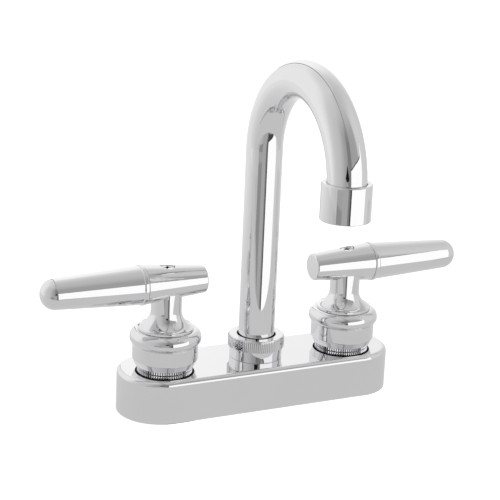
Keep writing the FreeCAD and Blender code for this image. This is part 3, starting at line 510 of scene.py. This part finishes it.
print("valve axes at x:", [shift for side, shift, turn in SIDES])

# %% [markdown]
# ## Retaining rings
# Under each handle a thin ribbed ring stands on the base. It could be one band of ribs, but the
# gaps between real ribs are never in the light. So a plain ring painted near black as shade stands
# behind the bright ribs, and the lighter colour of the ribs is a painted highlight.

# %% Draw a retaining ring
RING_RIBS = 71


def retaining_ring():
    ring = turned([(12.65, 22.0), (13.5, 22.0), (13.5, 24.0), (12.65, 24.0)])
    # The inner ring is painted near black: painted shade behind the ribs.
    for face in ring.faces:
        face.material_index = SECOND
    ribs = ribbed(teeth=RING_RIBS, depth=0.27, crest=0.14, root=0.3, rings=[
        (13.3, 22.12), (13.8, 22.12), (14.0, 22.3), (14.0, 24.0), (13.3, 24.0), (13.3, 22.12),
    ])
    # The rib faces take the rolled finish, whose lighter colour is a painted highlight; the
    # grooves take the painted shade.
    for face in ribs.faces:
        if face.material_index == PLATE:
            face.material_index = THIRD
    return with_band(ring, ribs)


print("ribs on a retaining ring:", RING_RIBS)

# %% [markdown]
# ## Escutcheons
# On each ring stands a chromed skirt with a crease and a bulging rim. It is pressed from sheet and
# could be a bent surface with a Solidify wall, but turning the whole outline keeps the wall's own
# shape. The skirt overhangs the ring, and its underside is never in the light, so it is painted
# near black as shade. The polished base mirrors that painted shade, which is the black line round
# each ring.

# %% Make the retaining rings and the escutcheons
SKIRT_FOOT, FACING_DOWN = 24.1, -0.95


def escutcheon():
    skirt = turned([
        (12.2, SKIRT_FOOT), (15.1, SKIRT_FOOT, 0.2), (16.6, 27.5, 1.6), (16.6, 35.0, 0.2),
        (16.15, 35.25), (16.6, 35.5, 0.2), (18.1, 36.7, 1.9), (18.1, 42.62, 4.0), (8.05, 42.62),
        (8.05, 40.4), (14.1, 40.4, 1.0), (15.0, 36.0), (15.0, 27.5),
    ])
    for face in skirt.faces:
        # The underside of the skirt's foot is painted near black: painted shade.
        if face.normal.z < FACING_DOWN and face.calc_center_median().z < SKIRT_FOOT + 0.1:
            face.material_index = SECOND
    return skirt


for side, shift, turn in SIDES:
    finished(at_side(retaining_ring(), shift, turn), f"{side}_ring_skin",
             f"{side}_retaining_ring", others=("painted_shade", "rolled_highlight"))
    finished(at_side(escutcheon(), shift, turn), f"{side}_escutcheon_skin",
             f"{side}_escutcheon")

# %% [markdown]
# ## Handle hubs
# Each hub is one casting: a flared bell, a neck, and a barrel that lies across it. It could be
# modelled as one net of faces, but both halves are round, so they are turned on their own and
# then joined. The neck has a few rings that a drawing wouldn't need: they keep its long faces
# from bending the reflections. The well for the screw and the socket for the stem are cut last.

# %% Make the handle hubs
BARREL, NECK = 66.62, 7.8
WELL, WELL_FOOT, SOCKET, SOCKET_TOP = 3.8, 72.02, 4.65, 61


def along_barrel(bm):
    bmesh.ops.rotate(bm, cent=(0, 0, 0), matrix=Matrix.Rotation(math.pi / 2, 3, "Y"),
                     verts=bm.verts)
    bmesh.ops.translate(bm, vec=(0, 0, BARREL), verts=bm.verts)
    return bm


for side, shift, turn in SIDES:
    bell = turned([
        (0, 42.72), (14.2, 42.72, 0.1), (14.2, 43.92, 0.2), (NECK, 45.58, 8.6), (NECK, 55.0),
        (NECK, 57.3), (NECK, 59.6), (NECK, 61.9), (NECK, BARREL), (0, BARREL),
    ], ring=False)
    barrel = turned([(0, -20.0), (7.0, -20.0, 1.0), (9.85, 12.8, 0.15), (0, 12.8)], ring=False)
    hub = combined(bell, along_barrel(barrel), "UNION")
    hub = combined(hub, rod(WELL, WELL_FOOT, 90), "DIFFERENCE")
    hub = combined(hub, rod(SOCKET, 40, SOCKET_TOP), "DIFFERENCE")
    finished(at_side(hub, shift, turn), f"{side}_hub_skin", f"{side}_handle_hub")

# %% [markdown]
# ## Levers
# The lever is screwed into the outer end of the barrel. It starts with a raised bead, tapers
# evenly and ends in a half ball. A scaled cylinder and a ball would leave a seam between them, so
# the whole lever is one outline, turned about its own axis and then laid along the barrel.

# %% Make the levers
for side, shift, turn in SIDES:
    lever = turned([
        (0, 12.9), (9.9, 12.9, 0.15), (10.2, 13.35, 0.4), (10.2, 14.9, 0.5), (9.75, 15.4, 0.15),
        (7.35, 65.5, 7.2), (0, 65.5),
    ], ring=False)
    finished(at_side(along_barrel(lever), shift, turn), f"{side}_lever_skin", f"{side}_lever")

# %% [markdown]
# ## Handle screws
# A small cross-head screw sits in the well on top of each barrel. The cross is pressed in with a
# punch whose four wings come to points, so two narrow pyramids cut it. Its hollow is painted near
# black as shade.

# %% Make the handle screws
CROSS_TURN = {"left": math.radians(-26), "right": math.radians(15)}
SCREW_TOP, CROSS_SINK, CROSS_HEIGHT, CROSS_FOOT = 74.5, 0.85, 1.8, 0.3
CROSS_LENGTH, CROSS_WIDTH = 2.7, 1.0
HEAD_FOOT, CROSS_REACH, FACING_UP = 72.3, 2.8, 0.97
for side, shift, turn in SIDES:
    screw = turned([
        (0, 51.47), (1.45, 51.47), (1.95, 51.97), (1.95, WELL_FOOT), (3.6, WELL_FOOT, 0.15),
        (3.6, 74.25, 0.3), (0, SCREW_TOP),
    ], ring=False, steps=64)
    for along, across in ((CROSS_LENGTH, CROSS_WIDTH), (CROSS_WIDTH, CROSS_LENGTH)):
        blade = bmesh.new()
        bmesh.ops.create_cone(blade, cap_ends=True, segments=4, radius1=CROSS_FOOT, radius2=1,
                              depth=CROSS_HEIGHT)
        bmesh.ops.scale(blade, vec=(along, across, 1), verts=blade.verts)
        bmesh.ops.rotate(blade, cent=(0, 0, 0), matrix=Matrix.Rotation(CROSS_TURN[side], 3, "Z"),
                         verts=blade.verts)
        bmesh.ops.translate(blade, vec=(0, 0, SCREW_TOP - CROSS_SINK), verts=blade.verts)
        screw = combined(screw, blade, "DIFFERENCE")
    # The walls of the cross are painted near black: painted shade.
    for face in screw.faces:
        middle = face.calc_center_median()
        inside = middle.z > HEAD_FOOT and middle.xy.length < CROSS_REACH
        if inside and face.normal.z < FACING_UP:
            face.material_index = SECOND
    finished(at_side(screw, shift, turn), f"{side}_screw_skin", f"{side}_handle_screw")

# %% [markdown]
# ## The pieces inside
# What the faucet hides keeps its CAD shape, because it is already right: valve bodies, bonnets,
# discs, stems, seals and the mixing tubes. Each one gets the finish its record slot names.

# %% Give the CAD nodes their finishes
slots = {row["node"]: row["material_slot"] for row in frame["record"]["subparts"]}
for node, piece in frame["nodes"].items():
    for place in piece.material_slots:
        place.material = finishes[slots[node]]
print("finished CAD nodes:", len(frame["nodes"]))

# %% [markdown]
# ## The floor
# The floor is the deck that the faucet stands on. It is plain and pale. A stronger lamp could make
# it white, but the shadow would be too dark beside it. So a part of its white is a glow of its
# own, which only the camera sees, and the shadow under the base stays soft and pale.

# %% Make the floor
FLOOR_HALF, FLOOR_TONE, FLOOR_ROUGHNESS, FLOOR_GLOW = 6, 0.8, 0.9, 0.62


def add_math(tree, operation):
    node = tree.nodes.new("ShaderNodeMath")
    node.operation = operation
    return node


def seen_by_camera_or_gloss(tree):
    path = tree.nodes.new("ShaderNodeLightPath")
    first = add_math(tree, "MAXIMUM")
    second = add_math(tree, "MAXIMUM")
    tree.links.new(path.outputs["Is Camera Ray"], first.inputs[0])
    tree.links.new(path.outputs["Is Glossy Ray"], first.inputs[1])
    tree.links.new(first.outputs["Value"], second.inputs[0])
    tree.links.new(path.outputs["Is Transmission Ray"], second.inputs[1])
    return second.outputs["Value"]


bm = bmesh.new()
bmesh.ops.create_grid(bm, x_segments=1, y_segments=1, size=FLOOR_HALF)
floor = plain_object(bm, "deck_floor")
floor_paint = bpy.data.materials.new("white_floor")
floor_paint.use_nodes = True
tree = floor_paint.node_tree
shader = tree.nodes["Principled BSDF"]
shader.inputs["Base Color"].default_value = (FLOOR_TONE, FLOOR_TONE, FLOOR_TONE, 1)
shader.inputs["Roughness"].default_value = FLOOR_ROUGHNESS
shader.inputs["Specular IOR Level"].default_value = 0.0
shader.inputs["Emission Color"].default_value = (1, 1, 1, 1)
glow = add_math(tree, "MULTIPLY")
glow.inputs[1].default_value = FLOOR_GLOW
tree.links.new(seen_by_camera_or_gloss(tree), glow.inputs[0])
tree.links.new(glow.outputs["Value"], shader.inputs["Emission Strength"])
floor.data.materials.append(floor_paint)
floor.visible_glossy = False
print("floor:", 2 * FLOOR_HALF, "m wide, with a glow of", FLOOR_GLOW)

# %% [markdown]
# ## The room that the chrome shows
# Polished metal is lit by what it mirrors, so the stripes on the tube are the walls and lamps of
# the studio. A picture of a studio could be wrapped round the scene, but plain walls and cards
# are simpler and need no picture. Each is an Emission paint on a mesh that only mirror rays see,
# and its level is a share of the brightest one.

# %% Helpers for what only the chrome sees
BRIGHTEST = 1.2


def grey(level):
    return (*([level / BRIGHTEST] * 3), 1)


def mirror_paint(name):
    paint = bpy.data.materials.new(name + "_paint")
    paint.use_nodes = True
    tree = paint.node_tree
    tree.nodes.remove(tree.nodes["Principled BSDF"])
    light = tree.nodes.new("ShaderNodeEmission")
    light.inputs["Strength"].default_value = BRIGHTEST
    tree.links.new(light.outputs["Emission"], tree.nodes["Material Output"].inputs["Surface"])
    return paint, tree, light


def grey_ramp(tree, stops):
    ramp = tree.nodes.new("ShaderNodeValToRGB")
    for place, _ in stops[1:-1]:
        ramp.color_ramp.elements.new(place)
    for element, (place, level) in zip(ramp.color_ramp.elements, stops):
        element.position = place
        element.color = grey(level)
    return ramp


def only_mirrored(card, paint):
    card.data.materials.append(paint)
    for ray in ("camera", "diffuse", "shadow", "transmission", "volume_scatter"):
        setattr(card, "visible_" + ray, False)


print("brightest level in the room:", BRIGHTEST)

# %% [markdown]
# ## The tent
# The studio is a white tent round the faucet. Its grey changes with the direction, as the walls
# of a real one are lit unevenly, and fades to the grey of the ceiling overhead. Directions are in
# degrees, 0 to the front and 90 to the right. Many cards could give the same greys, but a ramp
# over the direction has no edges.

# %% Put up the tent
TENT, TENT_STEPS, CEILING_STARTS = 2.0, (96, 48), 0.64
WALL_GREYS = (
    (-180, 0.92), (-160, 0.95), (-125, 0.95), (-112, 0.88), (-98, 0.72), (-80, 0.64), (-60, 0.6),
    (-48, 0.52), (-38, 0.43), (-24, 0.38), (-18, 0.26), (-3, 0.26), (2, 0.4), (40, 0.42),
    (50, 0.72), (80, 0.74), (112, 0.68), (130, 0.78), (146, 1.0), (165, 1.1), (180, 0.92),
)
CEILING_GREYS = ((-180, 0.73), (-110, 0.75), (-60, 0.66), (0, 0.57), (90, 0.6), (180, 0.73))


def round_the_faucet(tree, greys):
    return grey_ramp(tree, [(azimuth / 360 + 0.5, level) for azimuth, level in greys])


paint, tree, light = mirror_paint("tent")
place = tree.nodes.new("ShaderNodeTexCoord")
turn_to_front = tree.nodes.new("ShaderNodeMapping")
turn_to_front.inputs["Rotation"].default_value = (0, 0, math.radians(90))
direction = tree.nodes.new("ShaderNodeTexGradient")
direction.gradient_type = "RADIAL"
walls = round_the_faucet(tree, WALL_GREYS)
ceiling = round_the_faucet(tree, CEILING_GREYS)
split = tree.nodes.new("ShaderNodeSeparateXYZ")
rise = tree.nodes.new("ShaderNodeMapRange")
rise.interpolation_type = "SMOOTHSTEP"
rise.inputs["From Min"].default_value = CEILING_STARTS * TENT
rise.inputs["From Max"].default_value = TENT
blend = tree.nodes.new("ShaderNodeMix")
blend.data_type = "RGBA"
tree.links.new(place.outputs["Object"], turn_to_front.inputs["Vector"])
tree.links.new(turn_to_front.outputs["Vector"], direction.inputs["Vector"])
tree.links.new(direction.outputs["Fac"], walls.inputs["Fac"])
tree.links.new(direction.outputs["Fac"], ceiling.inputs["Fac"])
tree.links.new(place.outputs["Object"], split.inputs["Vector"])
tree.links.new(split.outputs["Z"], rise.inputs["Value"])
tree.links.new(rise.outputs["Result"], blend.inputs["Factor"])
tree.links.new(walls.outputs["Color"], blend.inputs["A"])
tree.links.new(ceiling.outputs["Color"], blend.inputs["B"])
tree.links.new(blend.outputs["Result"], light.inputs["Color"])
bm = bmesh.new()
bmesh.ops.create_uvsphere(bm, u_segments=TENT_STEPS[0], v_segments=TENT_STEPS[1], radius=TENT)
only_mirrored(plain_object(bm, "tent"), paint)
print("tent radius:", TENT)

# %% [markdown]
# ## The seam of the tent
# The two halves of the tent meet in a seam, which runs over the faucet from the front to the
# back. The chrome shows it as a fine dark line along the bend of the spout. It could be drawn on
# the tent with a mask, but a narrow band of a circle is plainer.

# %% Sew the two halves
SEAM_WIDTH, SEAM_AZIMUTH, SEAM_FOOT, SEAM_INSIDE, SEAM_GREY = 0.09, -7, 0.3, 0.05, 0.3
bm = bmesh.new()
bmesh.ops.create_circle(bm, cap_ends=False, segments=96, radius=TENT - SEAM_INSIDE)
bmesh.ops.translate(bm, vec=(0, 0, -SEAM_WIDTH / 2), verts=bm.verts)
verts, edges = next_ring(bm, bm.edges[:])
bmesh.ops.translate(bm, vec=(0, 0, SEAM_WIDTH), verts=verts)
for turn, axis in ((90, "Y"), (SEAM_AZIMUTH, "Z")):
    bmesh.ops.rotate(bm, cent=(0, 0, 0), matrix=Matrix.Rotation(math.radians(turn), 3, axis),
                     verts=bm.verts)
bmesh.ops.delete(bm, geom=[v for v in bm.verts if v.co.z < SEAM_FOOT], context="VERTS")
paint, tree, light = mirror_paint("tent_seam")
light.inputs["Color"].default_value = grey(SEAM_GREY)
only_mirrored(plain_object(bm, "tent_seam"), paint)
print("seam towards azimuth", SEAM_AZIMUTH)

# %% [markdown]
# ## Soft box and flags
# One tall soft box at the front right makes the white stripes. Its black frame draws their dark
# edges, and the flags to its left make the grey ones. The dark shape between them is the camera's
# own stand. They stand nearer than the tent, so their stripes shift from piece to piece. Lamps
# could light the metal instead, but a card gives its stripe straight edges. Each card is a strip
# bent round the faucet, and each of its columns is given by the azimuth and the height of its
# foot and of its top.

# %% Stand the soft box and the flags
STRIPS, ROWS = 8, 4


def curved_card(name, level, radius, *columns):
    spans = len(columns) - 1
    bm = bmesh.new()
    bmesh.ops.create_grid(bm, x_segments=STRIPS * spans, y_segments=ROWS, size=0.5)
    for vert in bm.verts:
        across = (vert.co.x + 0.5) * spans
        left = min(int(across + 0.001), spans - 1)
        foot, top = (Vector(a).lerp(Vector(b), across - left)
                     for a, b in zip(columns[left], columns[left + 1]))
        azimuth, height = foot.lerp(top, vert.co.y + 0.5)
        at = math.radians(azimuth)
        vert.co = (radius * math.sin(at), -radius * math.cos(at), height)
    paint, tree, light = mirror_paint(name)
    light.inputs["Color"].default_value = grey(level)
    only_mirrored(plain_object(bm, name), paint)


FOOT = -0.3
curved_card("camera_stand", 0.01, 0.44,
            ((-30, 0.138), (-30, 0.148)), ((-26, 0.125), (-26, 0.175)),
            ((-22, 0.12), (-22, 0.235)), ((-17.5, 0.125), (-17.5, 0.18)),
            ((-14, 0.138), (-14, 0.148)))
curved_card("soft_box", BRIGHTEST, 0.45,
            ((-5, -0.125), (-5, 0.198)), ((18, -0.19), (18, 0.235)),
            ((40, FOOT), (46, 0.246)), ((43, FOOT), (58, 0.34)))
curved_card("frame_side", 0.07, 0.455,
            ((-10.5, FOOT), (-10.5, 0.06)), ((-5, FOOT), (-5, 0.06)), ((24, FOOT), (24, 0.06)))
curved_card("frame_top", 0.07, 0.455,
            ((-6, 0.06), (-6, 0.208)), ((18, 0.06), (18, 0.247)),
            ((46, 0.06), (46, 0.26)), ((52, 0.06), (59, 0.355)))
curved_card("dark_flag", 0.24, 0.46, ((-17, FOOT), (-17, 0.44)), ((-3, FOOT), (-3, 0.44)))
curved_card("grey_flag", 0.44, 0.47, ((-38, FOOT), (-38, 0.1)), ((-17, FOOT), (-17, 0.1)))
curved_card("left_flag", 0.31, 0.48, ((-60, -0.045), (-60, 0.014)), ((-38, -0.1), (-38, 0.014)))
curved_card("left_flag_head", 0.42, 0.48,
            ((-60, 0.014), (-60, 0.03)), ((-38, 0.014), (-38, 0.034)))
curved_card("far_left_flag", 0.57, 0.49, ((-78, FOOT), (-78, 0.0)), ((-60, FOOT), (-60, 0.0)))
print("the soft box, its frame, five flags and the camera's stand are up")

# %% [markdown]
# ## The table in the mirror
# Low on each piece the chrome shows the table. It ends a hand's width in front of the faucet,
# where the stripes on the tube come to their points. It is darker near the faucet, which is the
# faucet's own shadow painted on it, and lighter towards the back. The floor could be mirrored
# itself, but a sheet of its own can have an edge and its own greys.

# %% Lay the table
TABLE_FRONT, TABLE_DEPTH, TABLE_SLANT, TABLE_LIFT = -0.142, 1.0, -0.06, 0.0002
# The darker greys at the front are painted shade: the faucet's own shadow on the table.
TABLE_GREYS = [(0, 0.64), (0.12, 0.64), (0.2, 0.7), (0.32, 0.76), (0.5, 0.86), (1, 0.9)]
paint, tree, light = mirror_paint("table")
place = tree.nodes.new("ShaderNodeTexCoord")
split = tree.nodes.new("ShaderNodeSeparateXYZ")
along = tree.nodes.new("ShaderNodeMapRange")
along.inputs["From Min"].default_value = TABLE_FRONT
along.inputs["From Max"].default_value = TABLE_FRONT + TABLE_DEPTH
tones = grey_ramp(tree, TABLE_GREYS)
tree.links.new(place.outputs["Object"], split.inputs["Vector"])
tree.links.new(split.outputs["Y"], along.inputs["Value"])
tree.links.new(along.outputs["Result"], tones.inputs["Fac"])
tree.links.new(tones.outputs["Color"], light.inputs["Color"])
bm = bmesh.new()
bmesh.ops.create_grid(bm, x_segments=1, y_segments=1, size=TABLE_DEPTH / 2)
bmesh.ops.translate(bm, vec=(0, TABLE_FRONT + TABLE_DEPTH / 2, TABLE_LIFT), verts=bm.verts)
for vert in bm.verts:
    if vert.co.y < 0:
        vert.co.y += TABLE_SLANT * vert.co.x
only_mirrored(plain_object(bm, "table"), paint)
print("table from", TABLE_FRONT, "to", TABLE_FRONT + TABLE_DEPTH)

# %% [markdown]
# ## World and lamp
# The world is white for the camera and for mirror rays, which is the white background, and softer
# for the light that falls on the faucet. One broad lamp above adds the shadow under the base. A
# small lamp would do it too, but its shadow would be hard.

# %% Set the world and the lamp
WORLD_LIGHT, WORLD_WHITE = 0.5, 1.0
LAMP_POWER, LAMP_SIZE = 9, 1.4
LAMP_PLACE, LAMP_BACK = (0.3, -0.35, 1.3), (0.3, -0.35, 1.2)
world = bpy.data.worlds.new("white_room")
bpy.context.scene.world = world
world.use_nodes = True
tree = world.node_tree
sky = tree.nodes["Background"]
sky.inputs["Color"].default_value = (1, 1, 1, 1)
level = tree.nodes.new("ShaderNodeMapRange")
level.inputs["To Min"].default_value = WORLD_LIGHT
level.inputs["To Max"].default_value = WORLD_WHITE
tree.links.new(seen_by_camera_or_gloss(tree), level.inputs["Value"])
tree.links.new(level.outputs["Result"], sky.inputs["Strength"])
lamp_data = bpy.data.lights.new("broad_lamp", "AREA")
lamp_data.energy = LAMP_POWER
lamp_data.size = LAMP_SIZE
lamp = bpy.data.objects.new("broad_lamp", lamp_data)
bpy.context.scene.collection.objects.link(lamp)
lamp.location = LAMP_PLACE
lamp.rotation_euler = Vector(LAMP_BACK).to_track_quat("Z", "Y").to_euler()
lamp.visible_glossy = False
bpy.context.scene.view_settings.view_transform = "Standard"
print("world and lamp set")

# %% [markdown]
# ## The camera
# The camera stands where the photograph was taken: a little above the spout's bend and to the
# left of the front. It could be placed by eye, but its place, tilt and lens come from the
# outlines in the photograph, solved together, so that the two pictures can be laid on each other.

# %% Place the camera
TURN, RISE, ROLL = (math.radians(a) for a in (26.302, 16.687, 2.470))
DISTANCE, LENS, AIM_SIDE, AIM_HEIGHT = 0.76759, 108.753, -0.005066, 0.078455
SENSOR, NEAREST, FARTHEST = 36, 0.01, 30
away = Vector((-math.sin(TURN) * math.cos(RISE), -math.cos(TURN) * math.cos(RISE), math.sin(RISE)))
level_right = Vector((math.cos(TURN), -math.sin(TURN), 0))
level_up = away.cross(level_right)
right = level_right * math.cos(ROLL) + level_up * math.sin(ROLL)
up = level_up * math.cos(ROLL) - level_right * math.sin(ROLL)
aim = Vector((AIM_SIDE * math.cos(TURN), -AIM_SIDE * math.sin(TURN), AIM_HEIGHT))
camera_data = bpy.data.cameras.new("camera")
camera_data.sensor_fit = "HORIZONTAL"
camera_data.sensor_width = SENSOR
camera_data.lens = LENS
camera_data.clip_start = NEAREST
camera_data.clip_end = FARTHEST
camera = bpy.data.objects.new("camera", camera_data)
bpy.context.scene.collection.objects.link(camera)
turned_to_aim = Matrix((right, up, away)).transposed().to_4x4()
camera.matrix_world = Matrix.Translation(aim + away * DISTANCE) @ turned_to_aim
bpy.context.scene.camera = camera
print("camera at", [round(v, 3) for v in camera.location])
